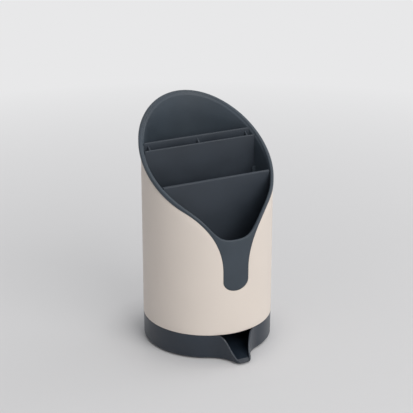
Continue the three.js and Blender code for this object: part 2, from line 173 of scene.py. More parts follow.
class Blank:
    """A piece in the making, with the steps that shape it in edit mode."""

    def __init__(self, piece: bpy.types.Object, name: str) -> None:
        """Names the piece and its mesh.

        Args:
            piece: the object that is shaped.
            name: its name and its mesh's.
        """
        self.piece = piece
        piece.name = name
        piece.data.name = name

    @staticmethod
    def clear() -> None:
        """Leaves nothing selected and nothing active in edit mode."""
        if bpy.context.object and bpy.context.object.mode != "OBJECT":
            bpy.ops.object.mode_set(mode="OBJECT")
        bpy.ops.object.select_all(action="DESELECT")

    def hold(self) -> None:
        """Leaves this piece alone selected and active, in object mode."""
        self.clear()
        self.piece.select_set(True)
        bpy.context.view_layer.objects.active = self.piece

    def discard(self) -> None:
        """Removes the piece and its mesh."""
        mesh = self.piece.data
        bpy.data.objects.remove(self.piece)
        bpy.data.meshes.remove(mesh)

    @classmethod
    def box(cls, name: str, low: Place, high: Place) -> "Blank":
        """Adds a box between two corners.

        Args:
            name: the piece's name.
            low: its lowest corner.
            high: its highest corner.

        Returns:
            The blank.
        """
        cls.clear()
        middle = [(a + b) / 2 for a, b in zip(low, high)]
        size = [b - a for a, b in zip(low, high)]
        bpy.ops.mesh.primitive_cube_add(size=1, location=middle, scale=size)
        bpy.ops.object.transform_apply(location=True, rotation=True, scale=True)
        return cls(bpy.context.object, name)

    @classmethod
    def disc(cls, name: str, radius: float, low: float, high: float, sides: int,
             place: Plan = (0.0, 0.0)) -> "Blank":
        """Adds an upright round bar.

        Args:
            name: the piece's name.
            radius: its radius.
            low: height of its underside.
            high: height of its top.
            sides: how many sides stand for the round.
            place: where its axis stands.

        Returns:
            The blank.
        """
        cls.clear()
        bpy.ops.mesh.primitive_cylinder_add(
            vertices=sides, radius=radius, depth=high - low,
            location=(place[0], place[1], (low + high) / 2))
        bpy.ops.object.transform_apply(location=True, rotation=True, scale=True)
        return cls(bpy.context.object, name)

    @classmethod
    def wall(cls, name: str, rings: Sequence[Ring], ends: Ends) -> "Blank":
        """Extrudes a circle once per ring and lays each of its rings on its outline.

        Args:
            name: the piece's name.
            rings: outlines of equal counts, in order along the wall.
            ends: whether the last ring joins the first or both are filled.

        Returns:
            The blank, closed and facing outwards.
        """
        cls.clear()
        count = len(rings[0])
        bpy.ops.mesh.primitive_circle_add(vertices=count, radius=1)
        blank = cls(bpy.context.object, name)
        bpy.ops.object.mode_set(mode="EDIT")
        bpy.ops.mesh.select_mode(type="EDGE")
        bpy.ops.mesh.select_all(action="SELECT")
        for _ in rings[1:]:
            bpy.ops.mesh.extrude_region_move(TRANSFORM_OT_translate={"value": (0, 0, 1)})
        bpy.ops.mesh.select_all(action="DESELECT")
        bpy.ops.mesh.select_non_manifold()
        if ends is Ends.JOINED:
            bpy.ops.mesh.bridge_edge_loops()
        else:
            bpy.ops.mesh.fill_holes(sides=0)
        bpy.ops.object.mode_set(mode="OBJECT")
        for vertex in blank.piece.data.vertices:
            turn = math.atan2(vertex.co.x, -vertex.co.y)
            column = round(turn / FULL * count) % count
            vertex.co = rings[round(vertex.co.z)][column]
        return blank.tidy()

    def pick(self, part: Part, test: Callable[[Vector, Vector], bool]) -> "Blank":
        """Selects what passes a test, and leaves the piece in edit mode.

        Args:
            part: points, edges or faces.
            test: told a point's place and normal, an edge's middle and way, or a face's
                centre and normal.

        Returns:
            This blank.
        """
        self.hold()
        mesh = self.piece.data
        points = mesh.vertices
        for group in (points, mesh.edges, mesh.polygons):
            group.foreach_set("select", [False] * len(group))
        if part is Part.POINTS:
            for point in points:
                point.select = test(point.co, point.normal)
        elif part is Part.EDGES:
            for edge in mesh.edges:
                start, end = (points[index].co for index in edge.vertices)
                edge.select = test((start + end) / 2, (end - start).normalized())
        else:
            for face in mesh.polygons:
                face.select = test(face.center, face.normal)
        bpy.ops.object.mode_set(mode="EDIT")
        bpy.ops.mesh.select_mode(type=part.value)
        return self

    def move(self, way: Place) -> "Blank":
        """Moves what is picked."""
        bpy.ops.transform.translate(value=way)
        return self

    def bevel(self, offset: float, segments: int) -> "Blank":
        """Rounds the picked edges."""
        bpy.ops.mesh.bevel(offset=offset, segments=segments, affect="EDGES", clamp_overlap=True)
        return self

    def split(self, place: Place, way: Place) -> "Blank":
        """Cuts the picked faces in two along a plane."""
        bpy.ops.mesh.bisect(plane_co=place, plane_no=way)
        return self

    def inset(self, thickness: float, depth: float = 0.0) -> "Blank":
        """Insets the picked faces and moves them along their normals."""
        bpy.ops.mesh.inset(thickness=thickness, depth=depth)
        return self

    def round_off(self, width: float, segments: int, degrees: float = 40.0) -> "Blank":
        """Rounds every edge sharper than an angle, with a modifier that is then applied.

        Args:
            width: the round's width.
            segments: its number of faces.
            degrees: the least angle of an edge that is rounded.

        Returns:
            This blank.
        """
        modifier = self.piece.modifiers.new("round", "BEVEL")
        modifier.width = width
        modifier.segments = segments
        modifier.limit_method = "ANGLE"
        modifier.angle_limit = math.radians(degrees)
        return self.apply(modifier)

    def join(self, tool: "Blank", cut: Cut) -> "Blank":
        """Adds or takes away what another solid covers, and uses that solid up.

        Args:
            tool: the other solid.
            cut: what it does to this one.

        Returns:
            This blank.
        """
        modifier = self.piece.modifiers.new("join", "BOOLEAN")
        modifier.operation = cut.value
        modifier.object = tool.piece
        modifier.solver = "EXACT"
        self.apply(modifier)
        tool.discard()
        return self

    def apply(self, modifier: bpy.types.Modifier) -> "Blank":
        """Applies a modifier of this piece.

        Args:
            modifier: the modifier.

        Returns:
            This blank.
        """
        self.hold()
        bpy.ops.object.modifier_apply(modifier=modifier.name)
        return self

    def tidy(self, least: float = WELD) -> "Blank":
        """Merges points closer than a least distance and faces the shell outwards.

        Args:
            least: the distance.

        Returns:
            This blank.
        """
        self.pick(Part.POINTS, lambda place, normal: True)
        bpy.ops.mesh.remove_doubles(threshold=least)
        bpy.ops.mesh.select_all(action="SELECT")
        bpy.ops.mesh.normals_make_consistent(inside=False)
        bpy.ops.object.mode_set(mode="OBJECT")
        return self

    def straighten(self, least: float = JOIN_WELD) -> "Blank":
        """Takes out the points that joining left on straight edges between two faces.

        Args:
            least: the distance from the straight line within which a point is taken out.

        Returns:
            This blank.
        """
        points = self.piece.data.vertices
        ends: dict[int, list[Vector]] = {point.index: [] for point in points}
        for edge in self.piece.data.edges:
            start, end = edge.vertices
            ends[start].append(points[end].co)
            ends[end].append(points[start].co)
        spare = set()
        for place, two_ends in ((point.co, ends[point.index]) for point in points):
            if len(two_ends) == 2:
                nearest, _ = intersect_point_line(place, *two_ends)
                if (nearest - place).length < least:
                    spare.add(place.to_tuple())
        if spare:
            self.pick(Part.POINTS, lambda place, normal: place.to_tuple() in spare)
            bpy.ops.mesh.dissolve_verts()
            bpy.ops.object.mode_set(mode="OBJECT")
        return self

    def copy(self, name: str, way: Place, turn: float = 0.0) -> "Blank":
        """Copies the piece with its own mesh.

        Args:
            name: the copy's name.
            way: how far the copy is moved after its turn.
            turn: how far it is turned round the upright axis through the origin.

        Returns:
            The copy's blank.
        """
        self.hold()
        bpy.ops.object.duplicate(linked=False)
        other = bpy.context.object
        other.rotation_euler.z = turn
        other.location = way
        bpy.ops.object.transform_apply(location=True, rotation=True, scale=True)
        return Blank(other, name)

    def smooth(self, degrees: float = 32.0) -> "Blank":
        """Shades the piece smooth up to an angle.

        Args:
            degrees: the angle, past which an edge stays sharp.

        Returns:
            This blank.
        """
        self.hold()
        bpy.ops.object.shade_smooth_by_angle(angle=math.radians(degrees))
        return self

    def finish(self, material: bpy.types.Material, body: Body, slot: Slot, *nodes: str) -> None:
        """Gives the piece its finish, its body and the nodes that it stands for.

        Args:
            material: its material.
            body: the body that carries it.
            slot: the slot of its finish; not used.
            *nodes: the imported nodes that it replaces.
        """
        self.clear()
        self.piece.data.materials.clear()
        self.piece.data.materials.append(material)
        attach(self.piece, body.value)
        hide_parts(*nodes)
        LOG.info("%s: %d faces on %s", self.piece.name, len(self.piece.data.polygons), body.value)


@dataclass(frozen=True)
class Pattern:
    """A cloudy pattern: its features to a metre, its layers and how rough they are."""

    scale: float
    detail: float
    rough: float = 0.5


class Wiring:
    """A node material in the making."""

    def __init__(self, name: str) -> None:
        """Starts from one shader and one output.

        Args:
            name: the material's name.
        """
        self.material = bpy.data.materials.new(name)
        self.material.use_nodes = True
        self.tree = self.material.node_tree
        self.tree.nodes.clear()
        self.output = self.tree.nodes.new("ShaderNodeOutputMaterial")
        self.shader = self.tree.nodes.new("ShaderNodeBsdfPrincipled")
        self.link(self.shader.outputs["BSDF"], self.output.inputs["Surface"])
        self.place = self.tree.nodes.new("ShaderNodeTexCoord").outputs["Object"]

    def link(self, start: bpy.types.NodeSocket, end: bpy.types.NodeSocket) -> None:
        """Joins two sockets."""
        self.tree.links.new(start, end)

    def noise(self, pattern: Pattern) -> bpy.types.NodeSocket:
        """Returns the value of a cloudy pattern.

        Args:
            pattern: the pattern's numbers.

        Returns:
            The value's socket.
        """
        node = self.tree.nodes.new("ShaderNodeTexNoise")
        node.inputs["Scale"].default_value = pattern.scale
        node.inputs["Detail"].default_value = pattern.detail
        node.inputs["Roughness"].default_value = pattern.rough
        self.link(self.place, node.inputs["Vector"])
        return node.outputs["Fac"]

    def ramp(self, value: bpy.types.NodeSocket, low: float, high: float,
             from_low: float = 0.3, from_high: float = 0.7) -> bpy.types.NodeSocket:
        """Maps a value from one range to another.

        Args:
            value: the socket to read.
            low: what from_low becomes.
            high: what from_high becomes.
            from_low: the range's start.
            from_high: its end.

        Returns:
            The mapped value's socket.
        """
        node = self.tree.nodes.new("ShaderNodeMapRange")
        for name, number in (("From Min", from_low), ("From Max", from_high),
                             ("To Min", low), ("To Max", high)):
            node.inputs[name].default_value = number
        self.link(value, node.inputs["Value"])
        return node.outputs["Result"]

    def tones(self, value: bpy.types.NodeSocket, places: Sequence[float],
              colours: Sequence[Place]) -> bpy.types.NodeSocket:
        """Turns a value into a colour.

        Args:
            value: the socket to read.
            places: the values at which the colours are reached.
            colours: a linear colour for each of them.

        Returns:
            The colour's socket.
        """
        node = self.tree.nodes.new("ShaderNodeValToRGB")
        band = node.color_ramp
        while len(band.elements) < len(places):
            band.elements.new(places[1])
        for element, place, colour in zip(band.elements, places, colours):
            element.position = place
            element.color = (*colour, 1)
        self.link(value, node.inputs["Fac"])
        return node.outputs["Color"]

    def mix(self, share: bpy.types.NodeSocket, first: bpy.types.NodeSocket,
            second: bpy.types.NodeSocket) -> bpy.types.NodeSocket:
        """Returns the mix of two colours, by a share of the second.

        Args:
            share: the second colour's share.
            first: the colour at share 0.
            second: the colour at share 1.

        Returns:
            The mixed colour's socket.
        """
        node = self.tree.nodes.new("ShaderNodeMix")
        node.data_type = "RGBA"
        self.link(share, node.inputs["Factor"])
        self.link(first, node.inputs["A"])
        self.link(second, node.inputs["B"])
        return node.outputs["Result"]

    def bump(self, height: bpy.types.NodeSocket, strength: float, distance: float,
             under: bpy.types.NodeSocket | None = None) -> bpy.types.NodeSocket:
        """Raises a pattern from the surface.

        Args:
            height: the pattern.
            strength: how much of it shows.
            distance: how high it is, in metres.
            under: a coarser bump that it lies on.

        Returns:
            The normal's socket.
        """
        node = self.tree.nodes.new("ShaderNodeBump")
        node.inputs["Strength"].default_value = strength
        node.inputs["Distance"].default_value = distance
        self.link(height, node.inputs["Height"])
        if under is not None:
            self.link(under, node.inputs["Normal"])
        return node.outputs["Normal"]

    def set(self, **values: float | bpy.types.NodeSocket) -> None:
        """Sets or links the shader's own sockets.

        Args:
            **values: a number or a socket for each, with underscores for the spaces in its name.
        """
        for name, value in values.items():
            socket = self.shader.inputs[name.replace("_", " ")]
            if isinstance(value, bpy.types.NodeSocket):
                self.link(value, socket)
            else:
                socket.default_value = value


def linear(red: int, green: int, blue: int) -> Place:
    """Returns a screen colour's linear light, from its three numbers up to 255."""
    shares = [value / 255 for value in (red, green, blue)]
    return tuple(s / 12.92 if s <= 0.04045 else ((s + 0.055) / 1.055) ** 2.4 for s in shares)


def shaded(colour: Place, share: float) -> Place:
    """Returns a linear colour with its light multiplied by a share."""
    return tuple(value * share for value in colour)


@dataclass(frozen=True)
class MouldedPlastic:
    """Slate plastic from an eroded mould: a fine grain, clouded gloss and no flow lines."""

    name: str = "slate_caddy_plastic"
    colour: Place = linear(56, 65, 74)
    shade: float = 0.88
    tone_places: tuple[float, float, float] = (0.3, 0.5, 0.72)
    grain: Pattern = Pattern(2600.0, 3, 0.6)
    grain_strength: float = 0.5
    grain_height: float = 0.00002
    cloud: Pattern = Pattern(34.0, 4)
    gloss: tuple[float, float] = (0.48, 0.6)
    specular: float = 0.38
    ior: float = 1.49

    def build(self) -> bpy.types.Material:
        """Wires clouded tones and gloss, and a fine grain.

        Returns:
            The material.
        """
        wiring = Wiring(self.name)
        cloud = wiring.noise(self.cloud)
        grain = wiring.noise(self.grain)
        colours = [shaded(self.colour, share) for share in (self.shade, 1, 2 - self.shade)]
        wiring.set(Base_Color=wiring.tones(cloud, self.tone_places, colours),
                   Roughness=wiring.ramp(cloud, *self.gloss),
                   Normal=wiring.bump(grain, self.grain_strength, self.grain_height),
                   Specular_IOR_Level=self.specular, IOR=self.ior)
        return wiring.material


# Painted shade: a darker copy of the caddy plastic for the upright walls, standing in for the
# shade that falls inside the caddy.
SHADED_WALL_PLASTIC = MouldedPlastic("slate_wall_plastic_painted_shade", linear(45, 52, 61))
# Partly painted shade: the tray's darker colour stands partly for a darker plastic and partly for
# the shade it gets low by the table. Its lower roughness and stronger specular are the plastic's
# own gloss.
SHADED_TRAY_PLASTIC = MouldedPlastic("slate_tray_plastic_and_painted_shade", linear(32, 41, 52), gloss=(0.28, 0.4),
                              specular=0.56)


@dataclass(frozen=True)
class PowderCoat:
    """Stone-coloured powder coat on steel: orange peel, faint specks and soft gloss."""

    name: str = "stone_powder_coat"
    colour: Place = linear(222, 212, 203)
    ground_shade: float = 0.965
    fleck_shade: float = 0.86
    tone_places: tuple[float, float] = (0.3, 0.7)
    fleck_share: float = 0.5
    fleck_range: tuple[float, float] = (0.62, 0.76)
    peel: Pattern = Pattern(620.0, 2)
    peel_strength: float = 0.35
    peel_height: float = 0.00004
    speck: Pattern = Pattern(3800.0, 2, 0.7)
    speck_strength: float = 0.12
    speck_height: float = 0.00001
    cloud: Pattern = Pattern(12.0, 3)
    gloss: tuple[float, float] = (0.5, 0.6)
    specular: float = 0.4

    def build(self) -> bpy.types.Material:
        """Wires clouded ground, flecks, orange peel and specks.

        Returns:
            The material.
        """
        wiring = Wiring(self.name)
        cloud = wiring.noise(self.cloud)
        speck = wiring.noise(self.speck)
        peel = wiring.noise(self.peel)
        dark = shaded(self.colour, self.ground_shade)
        fleck = shaded(self.colour, self.fleck_shade)
        ground = wiring.tones(cloud, self.tone_places, (dark, self.colour))
        flecks = wiring.tones(cloud, self.tone_places, (fleck, dark))
        share = wiring.ramp(speck, 0, self.fleck_share, *self.fleck_range)
        rough = wiring.bump(peel, self.peel_strength, self.peel_height)
        wiring.set(Base_Color=wiring.mix(share, ground, flecks),
                   Roughness=wiring.ramp(cloud, *self.gloss),
                   Normal=wiring.bump(speck, self.speck_strength, self.speck_height, rough),
                   Specular_IOR_Level=self.specular)
        return wiring.material


@dataclass(frozen=True)
class GripRubber:
    """Dull dark rubber of the foot pads."""

    name: str = "grip_rubber"
    colour: Place = linear(34, 37, 40)
    light_share: float = 1.5
    tone_places: tuple[float, float] = (0.35, 0.8)
    grain: Pattern = Pattern(3000.0, 3, 0.6)
    grain_strength: float = 0.4
    grain_height: float = 0.00003
    gloss: tuple[float, float] = (0.75, 0.92)
    specular: float = 0.3

    def build(self) -> bpy.types.Material:
        """Wires a grain into tone, gloss and height.

        Returns:
            The material.
        """
        wiring = Wiring(self.name)
        grain = wiring.noise(self.grain)
        colours = (self.colour, shaded(self.colour, self.light_share))
        wiring.set(Base_Color=wiring.tones(grain, self.tone_places, colours),
                   Roughness=wiring.ramp(grain, *self.gloss),
                   Normal=wiring.bump(grain, self.grain_strength, self.grain_height),
                   Specular_IOR_Level=self.specular)
        return wiring.material


@dataclass(frozen=True)
class DrainerForm:
    """Sizes that more than one piece follows, and the curves of the slanted top."""

    axis_y: float = 0.00765
    radius: float = 0.060
    height: float = 0.221
    slant_front: float = 0.1366
    dish: float = 0.0036
    clearance: float = 0.0003
    sheet: float = 0.0008
    rim_band: float = 0.0045
    rim_band_growth: float = 0.0013
    slot_half: float = 0.0127
    slot_floor: float = 0.0661
    slot_round: float = 0.0096
    flare_start: float = 0.085
    flare_end_turn: float = math.radians(48)
    tray_height: float = 0.0237
    collar_rise: float = 0.0032
    liner_wall: float = 0.0016
    ledge_thickness: float = 0.0018
    floor_thickness: float = 0.002
    divider_drop: float = 0.0014
    front_divider: tuple[float, float] = (-0.0210, -0.0180)
    knife_rack: tuple[float, float] = (0.0133, 0.0223)
    rail_thickness: float = 0.0015
    rail_depth: float = 0.003
    floor_steps: int = 16
    side_steps: int = 6
    flare_steps: int = 30
    back_steps: int = 88

    @property
    def inner(self) -> float:
        """The liner's inner radius."""
        return self.radius - self.sheet - self.clearance - self.liner_wall

    @property
    def caddy_bottom(self) -> float:
        """Height of the caddy's lowest edge, one clearance above the tray's collar."""
        return self.tray_height + self.collar_rise + self.clearance

    @property
    def floor_bottom(self) -> float:
        """Height of the perforated floor's underside."""
        return self.caddy_bottom + self.ledge_thickness + self.clearance

    @property
    def divider_bottom(self) -> float:
        """Height at which the upright walls stand on the perforated floor."""
        return self.floor_bottom + self.floor_thickness + self.clearance

    def slant_height(self, share: float) -> float:
        """Returns the slanted top's height over a place between front (-1) and back (1).

        Args:
            share: the place, as a share of the sleeve's radius behind its axis.

        Returns:
            The height.
        """
        rise = (self.height - self.slant_front) / 2
        side = (self.height + self.slant_front) / 2 - self.dish
        return side + rise * share + self.dish * share * share

    def slant_edge(self, turn: float) -> float:
        """Returns the height of the sleeve's slanted edge, under the rim's band.

        Args:
            turn: the place round the sleeve.

        Returns:
            The height.
        """
        to_front = math.cos(turn)
        band = self.rim_band + self.rim_band_growth * max(to_front, 0)
        return self.slant_height(-to_front) - band

    def divider_top(self, y: float) -> float:
        """Returns the height of an upright wall's top, from its place behind the axis."""
        return self.slant_height(y / self.radius) - self.divider_drop

    def chord_half(self, radius: float, y: float) -> float:
        """Returns half the width of a circle at a place off its centre."""
        return math.sqrt(radius * radius - y * y)

    def half_edge(self) -> list[Plan]:
        """Returns the sleeve's cut edge on one side, as places along the round and up it.

        Returns:
            The places, from the slot's middle round to the back.
        """
        floor = [(self.slot_half * math.sin(s * QUARTER),
                  self.slot_floor + self.slot_round * (1 - math.cos(s * QUARTER)))
                 for s in steps(self.floor_steps)]
        low = self.slot_floor + self.slot_round
        side = [(self.slot_half, lerp(low, self.flare_start, s)) for s in steps(self.side_steps)]
        end = self.flare_end_turn * self.radius
        width = end - self.slot_half
        rise = self.slant_edge(self.flare_end_turn) - self.flare_start
        bow = (rise * rise + width * width) / (2 * width)
        sweep = math.acos(1 - width / bow)
        flare = [(self.slot_half + bow * (1 - math.cos(s * sweep)),
                  self.flare_start + bow * math.sin(s * sweep)) for s in steps(self.flare_steps)]
        arcs = [lerp(end, HALF * self.radius, s) for s in steps(self.back_steps)]
        back = [(arc, self.slant_edge(arc / self.radius)) for arc in arcs]
        return floor + side[1:] + flare[1:] + back[1:]

    def offset_edge(self, distance: float) -> list[Plan]:
        """Moves the whole cut edge away from the steel, within the round.

        Args:
            distance: how far, negative into the steel.

        Returns:
            The places all the way round, counted from the front.
        """
        half = self.half_edge()
        whole = half + [(FULL * self.radius - arc, z) for arc, z in reversed(half[1:-1])]
        moved = []
        for index, (arc, z) in enumerate(whole):
            before = whole[index - 1]
            after = whole[(index + 1) % len(whole)]
            span = FULL * self.radius
            along = (after[0] - before[0] + span / 2) % span - span / 2
            up = after[1] - before[1]
            length = math.hypot(along, up)
            moved.append((arc - up / length * distance, z + along / length * distance))
        return moved

    def spread(self) -> list[float]:
        """Returns a place along the bottom for each point of the cut edge, by its length.

        Returns:
            The places along the round, counted from the front.
        """
        half = self.half_edge()
        lengths = [0.0]
        for start, end in zip(half, half[1:]):
            lengths.append(lengths[-1] + math.dist(start, end))
        arcs = [length / lengths[-1] * HALF * self.radius for length in lengths]
        return arcs + [FULL * self.radius - arc for arc in reversed(arcs[1:-1])]

    def rolled(self, arc: float, z: float, radius: float) -> Place:
        """Returns the place of a point of the flat sheet once it is rolled to a radius."""
        turn = arc / self.radius
        return (radius * math.sin(turn), self.axis_y - radius * math.cos(turn), z)


def rows(low: Sequence[Plan], high: Sequence[Plan], count: int) -> list[list[Plan]]:
    """Returns even rows of points from one edge to another, both edges among them."""
    return [[(lerp(a[0], b[0], s), lerp(a[1], b[1], s)) for a, b in zip(low, high)]
            for s in steps(count)]


@dataclass(frozen=True)
class SteelSleeve:
    """The painted sheet-steel tube with its slanted cut and the slot for the tongue."""

    form: DrainerForm
    paint: bpy.types.Material
    bottom: float = 0.0240
    edge_round: float = 0.00034
    round_steps: int = 3
    wall_steps: int = 14

    def edge_rings(self, outside: float, inside: float, at_top: bool) -> list[Ring]:
        """Rounds the sheet's edge over from one face to the other.

        Args:
            outside: the radius that it starts from.
            inside: the radius that it ends at.
            at_top: whether it is the cut edge or the level bottom edge.

        Returns:
            The rings across the edge.
        """
        form = self.form
        way = 1 if outside > inside else -1
        rings = []
        spread = form.spread()
        for far, inwards, down in edge_rounds(self.round_steps):
            step = way * self.edge_round * inwards
            radius = inside + step if far else outside - step
            depth = self.edge_round * down
            if at_top:
                line = form.offset_edge(-depth)
            else:
                line = [(arc, self.bottom + depth) for arc in spread]
            rings.append([form.rolled(arc, z, radius) for arc, z in line])
        return rings

    def build(self) -> None:
        """Models, dresses and places the sleeve."""
        form = self.form
        outer, inner = form.radius, form.radius - form.sheet
        low = [(arc, self.bottom + self.edge_round) for arc in form.spread()]
        high = form.offset_edge(-self.edge_round)
        between = rows(low, high, self.wall_steps)[1:-1]
        rings = [[form.rolled(arc, z, outer) for arc, z in row] for row in between]
        rings += self.edge_rings(outer, inner, at_top=True)
        rings += [[form.rolled(arc, z, inner) for arc, z in row] for row in reversed(between)]
        rings += self.edge_rings(inner, outer, at_top=False)
        blank = Blank.wall("steel_sleeve", rings, Ends.JOINED).smooth()
        blank.finish(self.paint, Body.SLEEVE, Slot.STONE, "outer_sleeve")


@dataclass(frozen=True)
class Caddy:
    """The liner with its rim and tongue, the ledge and rails inside, and the floor."""

    form: DrainerForm
    plastic: bpy.types.Material
    overhang: float = 0.0024
    overhang_turns: tuple[float, float] = (HALF / 6, 0.72 * HALF)
    rim_least: float = 0.001
    rim_round: float = 0.0012
    rim_round_shares: tuple[float, float] = (0.75, 0.42)
    rim_flare: float = 0.0014
    rim_flare_depth: float = 0.004
    notch_depth: float = 0.0212
    notch_turn: float = math.radians(25.5)
    notch_power: int = 4
    tongue_share: float = 0.68
    skirt_round: float = 0.0003
    ledge_width: float = 0.003
    rail_drop: float = 0.03
    rail_round: float = 0.0004
    rail_round_steps: int = 3
    skirt_steps: int = 2
    round_steps: int = 5
    flare_steps: int = 4
    wall_steps: int = 12
    floor_sides: int = 160
    floor_round: float = 0.0003
    floor_round_steps: int = 2
    notch_overrun: float = 0.005
    slot_overrun: float = 0.001
    slot_sides: int = 24
    drain_slot: tuple[float, float] = (0.009, 0.003)
    drain_rows: int = 4
    drain_margin: float = 0.0113
    drain_pitch: float = 0.017

    def rim_top(self, arc: float, seat: float) -> float:
        """Returns the rim's height over its place, with the dip at the front.

        Args:
            arc: the place along the round.
            seat: the height of the rim's lower edge there.

        Returns:
            The height, never less than the rim's least band above its seat.
        """
        turn = arc / self.form.radius
        turn = min(turn, FULL - turn)
        dip = self.notch_depth / (1 + (turn / self.notch_turn) ** self.notch_power)
        return max(self.form.slant_height(-math.cos(turn)) - dip, seat + self.rim_least)

    def rim_share(self, arc: float) -> float:
        """Returns how much of the overhang the rim has over its place, from 0 to 1."""
        turn = arc / self.form.radius
        return smooth_share(min(turn, FULL - turn), *self.overhang_turns)

    def top_line(self, seat: Sequence[Plan]) -> list[Plan]:
        """Spreads the tongue's columns over the rim's top.

        Args:
            seat: the rim's lower edge.

        Returns:
            The rim's top edge, a point for each of the seat's.
        """
        form = self.form
        span = FULL * form.radius
        floor, side = form.floor_steps, form.floor_steps + form.side_steps
        line = []
        for index, (arc, z) in enumerate(seat):
            step = min(index, len(seat) - index)
            near = arc if index <= len(seat) / 2 else span - arc
            if step <= floor:
                near *= self.tongue_share
            elif step < side:
                near *= lerp(self.tongue_share, 1, (step - floor) / form.side_steps)
            place = near if index <= len(seat) / 2 else span - near
            line.append((place, self.rim_top(place % span, z)))
        return line

    def liner(self) -> Blank:
        """Models the liner, rim, tongue and ledge as one wall that closes on itself.

        Returns:
            The liner's blank.
        """
        form = self.form
        seat = form.offset_edge(form.clearance)
        top = self.top_line(seat)
        foot = [(arc, form.caddy_bottom) for arc in form.spread()]
        outside, inside = form.inner + form.liner_wall, form.inner
        rings = [[form.rolled(a, z, outside) for a, z in row]
                 for row in rows(foot, seat, self.wall_steps)]
        shares = [self.rim_share(arc) for arc, _ in top]
        radii = [form.radius + self.overhang * share for share in shares]
        bores = [inside + self.rim_flare * share for share in shares]
        skirt = self.skirt_round
        for off, short in quarter_round(self.skirt_steps):
            rings.append([form.rolled(a, z + skirt * off, r - skirt * short)
                          for (a, z), r in zip(seat, radii)])
        tall, wide = self.rim_round_shares
        rounds = [min(self.rim_round, (high[1] - low[1]) * tall, (r - bore) * wide)
                  for low, high, r, bore in zip(seat, top, radii, bores)]
        start = [(a, z + skirt) for a, z in seat]
        finish = [(a, z - round_off) for (a, z), round_off in zip(top, rounds)]
        for row in rows(start, finish, self.wall_steps)[1:-1]:
            rings.append([form.rolled(a, z, r) for (a, z), r in zip(row, radii)])
        for far, inwards, down in edge_rounds(self.round_steps):
            rings.append([
                form.rolled(a, z - b * down, bore + b * inwards if far else r - b * inwards)
                for (a, z), r, b, bore in zip(top, radii, rounds, bores)])
        for share in steps(self.flare_steps)[1:]:
            line = [(a, lerp(z - b, z - self.rim_flare_depth, share))
                    for (a, z), b in zip(top, rounds)]
            rings.append([form.rolled(a, z, lerp(bore, inside, smooth_share(share, 0, 1)))
                          for (a, z), bore in zip(line, bores)])
        shelf = form.caddy_bottom + form.ledge_thickness
        inner_low = [(arc, shelf) for arc in form.spread()]
        for row in rows(line, inner_low, self.wall_steps)[1:]:
            rings.append([form.rolled(a, z, inside) for a, z in row])
        lip = inside - self.ledge_width
        for radius, z in ((lip, shelf), (lip, form.caddy_bottom)):
            rings.append([form.rolled(a, z, radius) for a, _ in foot])
        return Blank.wall("caddy_liner", rings, Ends.JOINED)

    def rails(self) -> list[Blank]:
        """Models the pairs of rails that hold the upright walls' ends.

        Returns:
            A blank for each rail.
        """
        form = self.form
        blanks = []
        for front, back in (form.front_divider, form.knife_rack):
            top = form.divider_top(front) - self.rail_drop
            for low in (front - form.clearance - form.rail_thickness, back + form.clearance):
                far = max(abs(low), abs(low + form.rail_thickness))
                near = form.chord_half(form.inner, far) - form.rail_depth
                end = form.chord_half(form.inner + form.liner_wall / 2, far)
                for side in (-1, 1):
                    x = sorted((side * near, side * end))
                    blank = Blank.box(
                        "rail", (x[0], form.axis_y + low, form.caddy_bottom + form.clearance),
                        (x[1], form.axis_y + low + form.rail_thickness, top))
                    blank.pick(Part.EDGES, lambda middle, way, t=top, n=near: (
                        middle.z > t - ON_PLANE or abs(abs(middle.x) - n) < ON_PLANE))
                    blanks.append(blank.bevel(self.rail_round, self.rail_round_steps))
        return blanks

    def floor(self) -> Blank:
        """Models the perforated floor, notched where the rails stand.

        Returns:
            The floor's blank.
        """
        form = self.form
        low = form.floor_bottom
        high = low + form.floor_thickness
        plate = Blank.disc("perforated_floor", form.inner - form.clearance, low, high,
                           self.floor_sides, (0.0, form.axis_y))
        for front, back in (form.front_divider, form.knife_rack):
            first = front - 2 * form.clearance - form.rail_thickness
            last = back + 2 * form.clearance + form.rail_thickness
            far = max(abs(first), abs(last))
            near = form.chord_half(form.inner, far) - form.rail_depth - form.clearance
            for side in (-1, 1):
                x = sorted((side * near, side * form.radius))
                notch = Blank.box(
                    "notch", (x[0], form.axis_y + first, low - self.notch_overrun),
                    (x[1], form.axis_y + last, high + self.notch_overrun))
                plate.join(notch, Cut.TAKE)
        length, width = self.drain_slot
        slot = Blank.disc("slot", width / 2, low - self.slot_overrun, high + self.slot_overrun,
                          self.slot_sides)
        reach = (length - width) / 2
        slot.pick(Part.POINTS, lambda place, normal: place.x > ON_PLANE).move((reach, 0, 0))
        slot.pick(Part.POINTS, lambda place, normal: place.x < -ON_PLANE).move((-reach, 0, 0))
        pitch = (form.inner - self.drain_margin) / self.drain_rows
        for row in range(1, self.drain_rows + 1):
            radius = row * pitch
            count = max(round(FULL * radius / self.drain_pitch), 1)
            for index in range(count):
                turn = FULL * (index + 0.5) / count
                way = (radius * math.sin(turn), form.axis_y - radius * math.cos(turn), 0)
                plate.join(slot.copy("slot_copy", way, turn), Cut.TAKE)
        slot.discard()
        return plate.round_off(self.floor_round, self.floor_round_steps)

    def build(self) -> None:
        """Models, dresses and places the liner and the perforated floor."""
        liner = self.liner()
        for rail in self.rails():
            liner.join(rail, Cut.ADD)
        liner.tidy(JOIN_WELD).straighten().smooth()
        liner.finish(self.plastic, Body.CADDY, Slot.SLATE, "caddy_shell")
        self.floor().smooth().finish(self.plastic, Body.CADDY, Slot.SLATE, "drain_floor")


